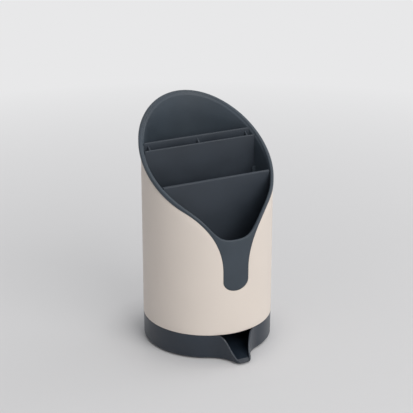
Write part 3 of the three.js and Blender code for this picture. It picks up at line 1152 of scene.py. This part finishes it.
@dataclass(frozen=True)
class UprightWalls:
    """The wall behind the front pocket, and the rack with its two close walls."""

    form: DrainerForm
    plastic: bpy.types.Material
    rack_wall: float = 0.002
    rack_web: float = 0.0016
    rack_inset: float = 0.0035
    web_drop: float = 0.001
    web_round: float = 0.0006
    web_round_steps: int = 3
    top_round_share: float = 0.49
    top_round_steps: int = 7
    smooth_degrees: float = 40

    def plate(self, name: str, front: float, back: float) -> Blank:
        """Models one upright plate whose ends follow the liner and whose top is round.

        Args:
            name: the piece's name.
            front: place of its front face behind the axis.
            back: place of its back face.

        Returns:
            The plate's blank.
        """
        form = self.form
        reach = form.inner - form.clearance
        top = form.divider_top((front + back) / 2)
        ends = [form.chord_half(reach, y) for y in (front, back)]
        blank = Blank.box(name, (-ends[0], form.axis_y + front, form.divider_bottom),
                          (ends[0], form.axis_y + back, top))
        middle = form.axis_y + (front + back) / 2
        for side in (-1, 1):
            blank.pick(Part.POINTS, lambda place, normal, s=side: (
                place.y > middle and place.x * s > 0)).move((side * (ends[1] - ends[0]), 0, 0))
        blank.pick(Part.EDGES, lambda place, way: (
            place.z > top - ON_PLANE and abs(way.x) > ALIGNED))
        return blank.bevel((back - front) * self.top_round_share, self.top_round_steps)

    def build(self) -> None:
        """Models, dresses and places both upright pieces."""
        form = self.form
        wall = self.plate("sponge_pocket_wall", *form.front_divider)
        wall.smooth(self.smooth_degrees)
        wall.finish(self.plastic, Body.SPONGE_WALL, Slot.SLATE, "front_divider")
        front, back = form.knife_rack
        rack = self.plate("knife_rack_walls", front, front + self.rack_wall)
        rack.join(self.plate("back_wall", back - self.rack_wall, back), Cut.ADD)
        end = form.chord_half(form.inner, back) - self.rack_inset
        first, last = front + self.rack_wall / 2, back - self.rack_wall / 2
        for x in (-end, 0.0, end):
            top = form.divider_top(first) - self.rack_wall / 2 - self.web_drop
            web = Blank.box(
                "web", (x - self.rack_web / 2, form.axis_y + first, form.divider_bottom),
                (x + self.rack_web / 2, form.axis_y + last, top))
            rise = form.divider_top(last) - form.divider_top(first)
            web.pick(Part.POINTS, lambda place, normal, t=top: (
                place.z > t - ON_PLANE and place.y > form.axis_y + (first + last) / 2))
            web.move((0, 0, rise))
            web.pick(Part.EDGES, lambda place, way, t=top: (
                place.z > t - ON_PLANE and abs(way.x) < ON_PLANE))
            web.bevel(self.web_round, self.web_round_steps)
            rack.join(web, Cut.ADD)
        rack.tidy().straighten().smooth(self.smooth_degrees)
        rack.finish(self.plastic, Body.RACK, Slot.SLATE, "knife_rack")


@dataclass(frozen=True)
class DripTray:
    """The tray with its pouring spout, the collar that centres the sleeve, and the pads."""

    form: DrainerForm
    plastic: bpy.types.Material
    rubber: bpy.types.Material
    wall: float = 0.0016
    step: float = 0.0001
    draft: float = 0.0003
    foot_round: float = 0.0013
    proud: float = 0.0012
    edge_round: float = 0.0005
    land_round: float = 0.0003
    floor_thickness: float = 0.002
    floor_back: float = 0.012
    floor_fillet: float = 0.001
    spout_length: float = 0.0177
    root_half: float = 0.0122
    tip_half: float = 0.0066
    corner: float = 0.0044
    inner_corner: float = 0.0012
    blend_share: float = 0.9
    edge_inset: float = 0.001
    level_length: float = 0.004
    knee_length: float = 0.0065
    knee_height: float = 0.0075
    lip_height: float = 0.0034
    spout_floor: float = 0.0038
    ramp_length: float = 0.0045
    mouth_height: float = 0.0023
    mouth_margin: float = 0.00005
    leave_turn: float = math.radians(25)
    collar_thickness: float = 0.0017
    collar_depth: float = 0.004
    collar_gap_margin: float = 0.0025
    pad_radius: float = 0.0065
    pad_thickness: float = 0.002
    pad_inset: float = 0.0176
    pad_count: int = 4
    boss_wall: float = 0.0016
    corner_share: float = 0.9
    edge_share: float = 0.4
    fillet_share: float = 0.9
    collar_shoulder: tuple[float, float] = (0.0012, 0.0010)
    collar_round: float = 0.0005
    collar_bury_share: float = 0.25
    groove_count: int = 2
    groove_land: float = 0.0010
    groove_slope: float = 0.0003
    groove_floor: float = 0.0006
    pad_round: float = 0.0004
    pad_round_steps: int = 3
    pad_edge_share: float = 0.98
    pocket_overrun: float = 0.002
    share_error: float = 1e-6
    section_steps: tuple[int, ...] = (4, 10, 18, 14, 84)
    foot_steps: int = 4
    wall_steps: int = 12
    round_steps: int = 5
    inner_steps: int = 6
    fillet_steps: int = 4
    collar_steps: int = 150
    round_sides: int = 64
    smooth_degrees: float = 38

    @property
    def reach(self) -> float:
        """How far the lip stands in front of the sleeve's axis."""
        return self.form.radius + self.spout_length

    @property
    def top_radius(self) -> float:
        """The tray's outer radius at its top."""
        return self.form.radius - self.step

    @property
    def spout_side(self) -> tuple[Vector, Vector]:
        """Where the spout's right side starts at the sleeve, and its way to the lip."""
        root = Vector((self.root_half, -self.form.radius))
        return root, (Vector((self.tip_half, -self.reach)) - root).normalized()

    def outline(self, z: float, inset: float = 0.0) -> list[Plan]:
        """Draws the tray's plan at a height: a circle that runs out into the spout.

        Args:
            z: the height.
            inset: how far inside the outer face.

        Returns:
            The points from the middle of the lip, round by +X, about the sleeve's axis.
        """
        radius = self.top_radius - self.draft * (1 - z / self.form.tray_height) - inset
        front = inset - self.reach
        corner = max(self.corner - inset, self.inner_corner)
        root, side = self.spout_side
        root += Vector((side.y, -side.x)) * inset
        sine, cosine = math.sin(self.leave_turn), math.cos(self.leave_turn)
        leave = Vector((radius * sine, -radius * cosine))
        tangent = Vector((-cosine, -sine))
        gap = root - leave
        along = (gap.x * side.y - gap.y * side.x) / (tangent.x * side.y - tangent.y * side.x)
        knee = leave + tangent * along
        tip = root + side * ((front - root.y) / side.y)
        corner = min(corner, tip.x * self.corner_share)
        start = tip - side * corner
        joined = knee + side * min(along, self.blend_share * (start - knee).length)
        end = Vector((tip.x - corner, front))
        flat, bend, straight, fillet, back = self.section_steps
        half = [(end.x * s, front) for s in steps(flat)[:-1]]
        half += [bezier(end, tip, start, s) for s in steps(bend)[:-1]]
        half += [tuple(start.lerp(joined, s)) for s in steps(straight)[:-1]]
        half += [bezier(joined, knee, leave, s) for s in steps(fillet)[:-1]]
        turns = [lerp(self.leave_turn, HALF, s) for s in steps(back)]
        half += [(radius * math.sin(turn), -radius * math.cos(turn)) for turn in turns]
        return half + [(-x, y) for x, y in reversed(half[1:-1])]

    def plan_at(self, heights: Sequence[float], insets: Sequence[float]) -> list[Plan]:
        """Draws a plan whose every point follows its own height and inset.

        Args:
            heights: a height for each point of the outline.
            insets: how far inside the outer face each point lies.

        Returns:
            The points, in the outline's order.
        """
        pairs = list(zip(heights, insets))
        drawn = {pair: self.outline(*pair) for pair in set(pairs)}
        return [drawn[pair][index] for index, pair in enumerate(pairs)]

    def top_height(self, y: float) -> float:
        """Returns the wall's height over its place, coming down along the spout.

        Args:
            y: the place behind the sleeve's axis.

        Returns:
            The height.
        """
        level = self.form.tray_height
        ways = (self.edge_inset, -self.level_length, -self.knee_length, -self.spout_length)
        places = [way - self.form.radius for way in ways]
        heights = (level, level, self.knee_height, self.lip_height)
        low, high = 0.0, 1.0
        while high - low > self.share_error:
            share = (low + high) / 2
            low, high = (share, high) if cubic(places, share) > y else (low, share)
        return cubic(heights, low)

    def floor_height(self, y: float) -> float:
        """Returns the height of the tray's floor, which slopes down to a ramp at the mouth.

        Args:
            y: the place behind the sleeve's axis.

        Returns:
            The height.
        """
        depth = self.top_radius + self.reach
        if y + self.reach > self.ramp_length:
            return lerp(self.spout_floor, self.floor_back, (y + self.reach) / depth)
        high = lerp(self.spout_floor, self.floor_back, self.ramp_length / depth)
        return lerp(self.mouth_height, high, (y + self.reach) / self.ramp_length)

    def open_mouth(self, tray: Blank) -> None:
        """Cuts the nose's wall away between the spout's side walls, down to the ramp.

        Args:
            tray: the tray to cut.
        """
        axis, wall = self.form.axis_y, self.wall + self.mouth_margin
        front, back = -self.reach - self.ramp_length, -self.reach + self.ramp_length
        root, side = self.spout_side
        halves = [root.x + (y - root.y + side.x * wall) / side.y * side.x + side.y * wall
                  for y in (front, back)]
        low, high = self.floor_height(front), self.floor_height(back)
        tool = Blank.box("mouth", (-halves[1], axis + front, low),
                         (halves[1], axis + back, self.form.tray_height))
        for way in (-1, 1):
            tool.pick(Part.POINTS, lambda place, normal, w=way: (
                place.y < axis - self.reach and place.x * w > 0))
            tool.move((way * (halves[0] - halves[1]), 0, 0))
        tool.pick(Part.POINTS, lambda place, normal: (
            place.y > axis - self.reach and place.z < self.lip_height)).move((0, 0, high - low))
        tray.join(tool, Cut.TAKE)

    def ring(self, plan: Sequence[Plan], heights: Sequence[float]) -> Ring:
        """Sets a plan about the sleeve's axis, each point at its height."""
        return [(x, y + self.form.axis_y, z) for (x, y), z in zip(plan, heights)]

    def shell(self) -> Blank:
        """Models the tray's wall, foot and floor as one shell.

        Returns:
            The shell's blank, with its floor parted where the ramp starts.
        """
        outer = self.outline(self.form.tray_height)
        inner = self.outline(self.form.tray_height, self.wall)
        tops = [self.top_height(y) for _, y in outer]
        floors = [self.floor_height(y) for _, y in inner]
        count = len(outer)
        under = self.outline(0.0, self.wall)
        rings = [self.ring(under, [max(self.floor_height(y) - self.floor_thickness,
                                       self.proud + self.mouth_margin) for _, y in under])]
        rings.append(self.ring(self.outline(self.proud, self.wall), [self.proud] * count))
        for off, short in quarter_round(self.foot_steps):
            z = self.proud + self.foot_round * off
            rings.append(self.ring(self.outline(z, self.foot_round * short), [z] * count))
        low = self.proud + self.foot_round
        rounds = [lerp(self.land_round, self.edge_round, smooth_share(
            y, -self.form.radius - self.edge_inset, -self.form.radius + self.level_length))
            for _, y in outer]
        edges = [min(width, (top - floor) * self.edge_share)
                 for width, top, floor in zip(rounds, tops, floors)]
        for share in steps(self.wall_steps)[1:-1]:
            heights = [lerp(low, top - edge, share) for top, edge in zip(tops, edges)]
            rings.append(self.ring(self.plan_at(heights, [0.0] * count), heights))
        for far, inwards, down in edge_rounds(self.round_steps):
            depths = [self.wall - width * inwards if far else width * inwards
                      for width in rounds]
            heights = [top - edge * down for top, edge in zip(tops, edges)]
            rings.append(self.ring(self.plan_at(heights, depths), heights))
        starts = [top - edge for top, edge in zip(tops, edges)]
        fillets = [min(self.floor_fillet, (start - floor) * self.fillet_share)
                   * smooth_share(y + self.reach, self.ramp_length / 2, 2 * self.ramp_length)
                   + self.mouth_margin for start, floor, (_, y) in zip(starts, floors, inner)]
        for share in steps(self.inner_steps)[1:]:
            heights = [lerp(start, floor + fillet, share)
                       for start, floor, fillet in zip(starts, floors, fillets)]
            rings.append(self.ring(inner, heights))
        for off, short in quarter_round(self.fillet_steps)[1:]:
            plan = self.outline(self.form.tray_height, self.wall + self.floor_fillet * off)
            heights = [self.floor_height(y) + fillet * short
                       for (_, y), fillet in zip(plan, fillets)]
            rings.append(self.ring(plan, heights))
        shell = Blank.wall("drip_tray_with_spout", rings, Ends.FILLED)
        shell.pick(Part.FACES, lambda place, normal: (
            abs(normal.z) > ALIGNED and math.hypot(place.x, place.y) < self.form.radius / 2))
        return shell.split((0, self.form.axis_y - self.reach + self.ramp_length, 0), (0, 1, 0))

    def collar(self) -> Blank:
        """Models the ring that stands inside the sleeve, open towards the spout.

        Returns:
            The ring's blank.
        """
        form = self.form
        outer = form.radius - form.sheet - form.clearance
        inner = outer - self.collar_thickness
        top = form.tray_height + form.collar_rise
        low = form.tray_height - self.collar_depth
        buried = outer + self.wall * self.collar_bury_share
        under, over = (form.tray_height - drop for drop in self.collar_shoulder)
        edge = self.collar_round
        profile = [(buried, low), (buried, under), (outer, over), (outer, top - edge),
                   (outer - edge, top), (inner + edge, top), (inner, top - edge),
                   (inner, form.tray_height - self.wall)]
        half = self.top_radius * math.sin(self.leave_turn) + self.collar_gap_margin
        gap = math.asin(half / outer)
        turns = [lerp(gap, FULL - gap, share) for share in steps(self.collar_steps)]
        rings = [[(r * math.sin(turn), form.axis_y - r * math.cos(turn), z) for r, z in profile]
                 for turn in turns]
        return Blank.wall("collar", rings, Ends.FILLED)

    def pad_places(self) -> list[Plan]:
        """Returns where the foot pads' axes stand.

        Returns:
            A place for each pad.
        """
        circle = self.top_radius - self.draft - self.pad_inset
        turns = [FULL * (index + 0.5) / self.pad_count for index in range(self.pad_count)]
        return [(circle * math.sin(turn), self.form.axis_y - circle * math.cos(turn))
                for turn in turns]

    def add_bosses(self, tray: Blank) -> None:
        """Adds the bosses under the floor and sinks a pocket for a pad into each.

        Args:
            tray: the tray to change.
        """
        pocket = self.pad_radius + self.form.clearance
        for x, y in self.pad_places():
            top = self.floor_height(y - self.form.axis_y) - self.floor_thickness / 2
            boss = Blank.disc("boss", pocket + self.boss_wall, self.proud, top,
                              self.round_sides, (x, y))
            tray.join(boss, Cut.ADD)
            hollow = Blank.disc("pocket", pocket, self.proud - self.pocket_overrun,
                                self.pad_thickness + self.form.clearance, self.round_sides, (x, y))
            tray.join(hollow, Cut.TAKE)

    def pad(self) -> Blank:
        """Models one grooved pad about the origin.

        Returns:
            The pad's blank.
        """
        blank = Blank.disc("grip_pad", self.pad_radius, 0, self.pad_thickness, self.round_sides)
        blank.pick(Part.FACES, lambda place, normal: normal.z < -ALIGNED)
        for _ in range(self.groove_count):
            blank.inset(self.groove_land).inset(self.groove_slope, -self.groove_slope)
            blank.inset(self.groove_floor).inset(self.groove_slope, self.groove_slope)
        least = self.pad_radius * self.pad_edge_share
        blank.pick(Part.EDGES, lambda place, way: (
            place.z < ON_PLANE and math.hypot(place.x, place.y) > least))
        return blank.bevel(self.pad_round, self.pad_round_steps)

    def build(self) -> None:
        """Models, dresses and places the tray and its pads."""
        tray = self.shell()
        self.open_mouth(tray)
        tray.join(self.collar(), Cut.ADD)
        self.add_bosses(tray)
        tray.tidy(JOIN_WELD).straighten().smooth(self.smooth_degrees)
        tray.finish(self.plastic, Body.TRAY, Slot.SLATE, "base_tray")
        pad = self.pad()
        for index, (x, y) in enumerate(self.pad_places(), 1):
            copy = pad.copy(f"grip_pad_{index}", (x, y, 0)).smooth()
            copy.finish(self.rubber, Body.TRAY, Slot.RUBBER, f"foot_pad_{index}")
        pad.discard()


@dataclass(frozen=True)
class Lamp:
    """One soft rectangular lamp that looks at the drainer."""

    name: str
    place: Place
    size: tuple[float, float]
    power: float
    colour: Place = (1.0, 1.0, 1.0)
    target: Place = (0.0, 0.0, 0.11)

    def build(self) -> None:
        """Adds the lamp."""
        data = bpy.data.lights.new(self.name, "AREA")
        data.shape = "RECTANGLE"
        data.size, data.size_y = self.size
        data.energy = self.power
        data.color = self.colour
        lamp = bpy.data.objects.new(self.name, data)
        lamp.location = self.place
        way = Vector(self.target) - Vector(self.place)
        lamp.rotation_euler = way.to_track_quat("-Z", "Y").to_euler()
        bpy.context.scene.collection.objects.link(lamp)


@dataclass(frozen=True)
class Studio:
    """A pale table top, soft lamps and the camera."""

    table_size: float = 9.0
    table_colour: Place = linear(220, 220, 222)
    table_shade: float = 0.98
    tone_places: tuple[float, float] = (0.3, 0.7)
    table_cloud: Pattern = Pattern(3.0, 3)
    table_gloss: float = 0.55
    table_specular: float = 0.25
    # Painted light: a glow in the table, seen only by camera, gloss and glass rays, lightens the
    # drainer's cast shadow near it and pales into the backdrop far off.
    near_painted_glow: Place = linear(207, 207, 208)
    painted_glow_places: tuple[float, float, float] = (0.062, 0.11, 0.85)
    painted_glow_share: float = 0.5
    sky_colour: Place = linear(232, 232, 233)
    sky_strength: float = 0.365
    camera_place: Place = (-0.5281, -1.0684, 0.5956)
    pitch: float = math.radians(21.38)
    yaw: float = math.radians(26.11)
    lens: float = 122.03
    sensor: float = 36.0
    clip: tuple[float, float] = (0.05, 20)
    lamps: tuple[Lamp, ...] = (
        Lamp("key", (0.35, -1.6, 1.15), (1.4, 1.4), 25, (1.0, 0.985, 0.96)),
        Lamp("top", (0.25, 0.1, 1.5), (1.2, 1.2), 4.5),
        Lamp("right_fill", (1.6, 0.3, 0.7), (0.9, 0.9), 6),
        Lamp("left_fill", (-1.5, -0.7, 0.8), (1.0, 1.0), 2.4, (0.96, 0.98, 1.0)),
    )

    @staticmethod
    def seen_rays(tree: bpy.types.NodeTree) -> bpy.types.NodeSocket:
        """Returns 1 for what the camera, gloss or glass sees, and 0 for plain light.

        Args:
            tree: the tree that the nodes are added to.

        Returns:
            The value's socket.
        """
        path = tree.nodes.new("ShaderNodeLightPath")
        seen = path.outputs["Is Camera Ray"]
        for other in ("Is Glossy Ray", "Is Transmission Ray"):
            both = tree.nodes.new("ShaderNodeMath")
            both.operation = "ADD"
            both.use_clamp = True
            tree.links.new(seen, both.inputs[0])
            tree.links.new(path.outputs[other], both.inputs[1])
            seen = both.outputs[0]
        return seen

    def table(self) -> None:
        """Adds the table top that the drainer stands on, which pales into the distance."""
        Blank.clear()
        bpy.ops.mesh.primitive_plane_add(size=self.table_size)
        plane = bpy.context.object
        plane.name = "table_top"
        wiring = Wiring("pale_table")
        cloud = wiring.noise(self.table_cloud)
        colours = (shaded(self.table_colour, self.table_shade), self.table_colour)
        wiring.set(Base_Color=wiring.tones(cloud, self.tone_places, colours),
                   Roughness=self.table_gloss, Specular_IOR_Level=self.table_specular)
        tree = wiring.tree
        reach = tree.nodes.new("ShaderNodeVectorMath")
        reach.operation = "LENGTH"
        wiring.link(wiring.place, reach.inputs[0])
        # Painted light: the glow's share is nil at the drainer's foot, half a little way out,
        # where it lightens the cast shadow, and whole far off.
        share = tree.nodes.new("ShaderNodeMath")
        share.operation = "MULTIPLY"
        shares = [(value,) * 3 for value in (0.0, self.painted_glow_share, 1.0)]
        wiring.link(wiring.tones(reach.outputs["Value"], self.painted_glow_places, shares),
                    share.inputs[0])
        wiring.link(self.seen_rays(tree), share.inputs[1])
        painted_glow = tree.nodes.new("ShaderNodeEmission")
        wiring.link(wiring.tones(reach.outputs["Value"], self.painted_glow_places[1:],
                                 (self.near_painted_glow, self.sky_colour)), painted_glow.inputs["Color"])
        mix = tree.nodes.new("ShaderNodeMixShader")
        wiring.link(share.outputs[0], mix.inputs["Fac"])
        wiring.link(wiring.shader.outputs["BSDF"], mix.inputs[1])
        wiring.link(painted_glow.outputs["Emission"], mix.inputs[2])
        wiring.link(mix.outputs[0], wiring.output.inputs["Surface"])
        plane.data.materials.append(wiring.material)

    def sky(self) -> None:
        """Lights the scene evenly and shows a pale surrounding to the camera and in gloss."""
        world = bpy.data.worlds.new("studio")
        bpy.context.scene.world = world
        world.use_nodes = True
        tree = world.node_tree
        tree.nodes.clear()
        output = tree.nodes.new("ShaderNodeOutputWorld")
        mix = tree.nodes.new("ShaderNodeMixShader")
        for index, strength in ((1, self.sky_strength), (2, 1.0)):
            light = tree.nodes.new("ShaderNodeBackground")
            light.inputs["Color"].default_value = (*self.sky_colour, 1)
            light.inputs["Strength"].default_value = strength
            tree.links.new(light.outputs[0], mix.inputs[index])
        tree.links.new(self.seen_rays(tree), mix.inputs["Fac"])
        tree.links.new(mix.outputs[0], output.inputs["Surface"])

    def camera(self) -> None:
        """Adds the camera at the photograph's place and angle."""
        data = bpy.data.cameras.new("photograph")
        data.sensor_width = self.sensor
        data.lens = self.lens
        data.clip_start, data.clip_end = self.clip
        camera = bpy.data.objects.new("photograph", data)
        camera.location = self.camera_place
        camera.rotation_euler = (QUARTER - self.pitch, 0, -self.yaw)
        bpy.context.scene.collection.objects.link(camera)
        bpy.context.scene.camera = camera

    def build(self) -> None:
        """Sets up the table, the light, the camera and the view."""
        self.table()
        self.sky()
        for lamp in self.lamps:
            lamp.build()
        self.camera()
        bpy.context.scene.view_settings.view_transform = "Standard"


def main() -> None:
    """Builds the drainer's pieces and the studio."""
    logging.basicConfig(level=logging.INFO, format="%(message)s")
    form = DrainerForm()
    DripTray(form, SHADED_TRAY_PLASTIC.build(), GripRubber().build()).build()
    SteelSleeve(form, PowderCoat().build()).build()
    Caddy(form, MouldedPlastic().build()).build()
    UprightWalls(form, SHADED_WALL_PLASTIC.build()).build()
    Studio().build()


if __name__ == "__main__":
    main()
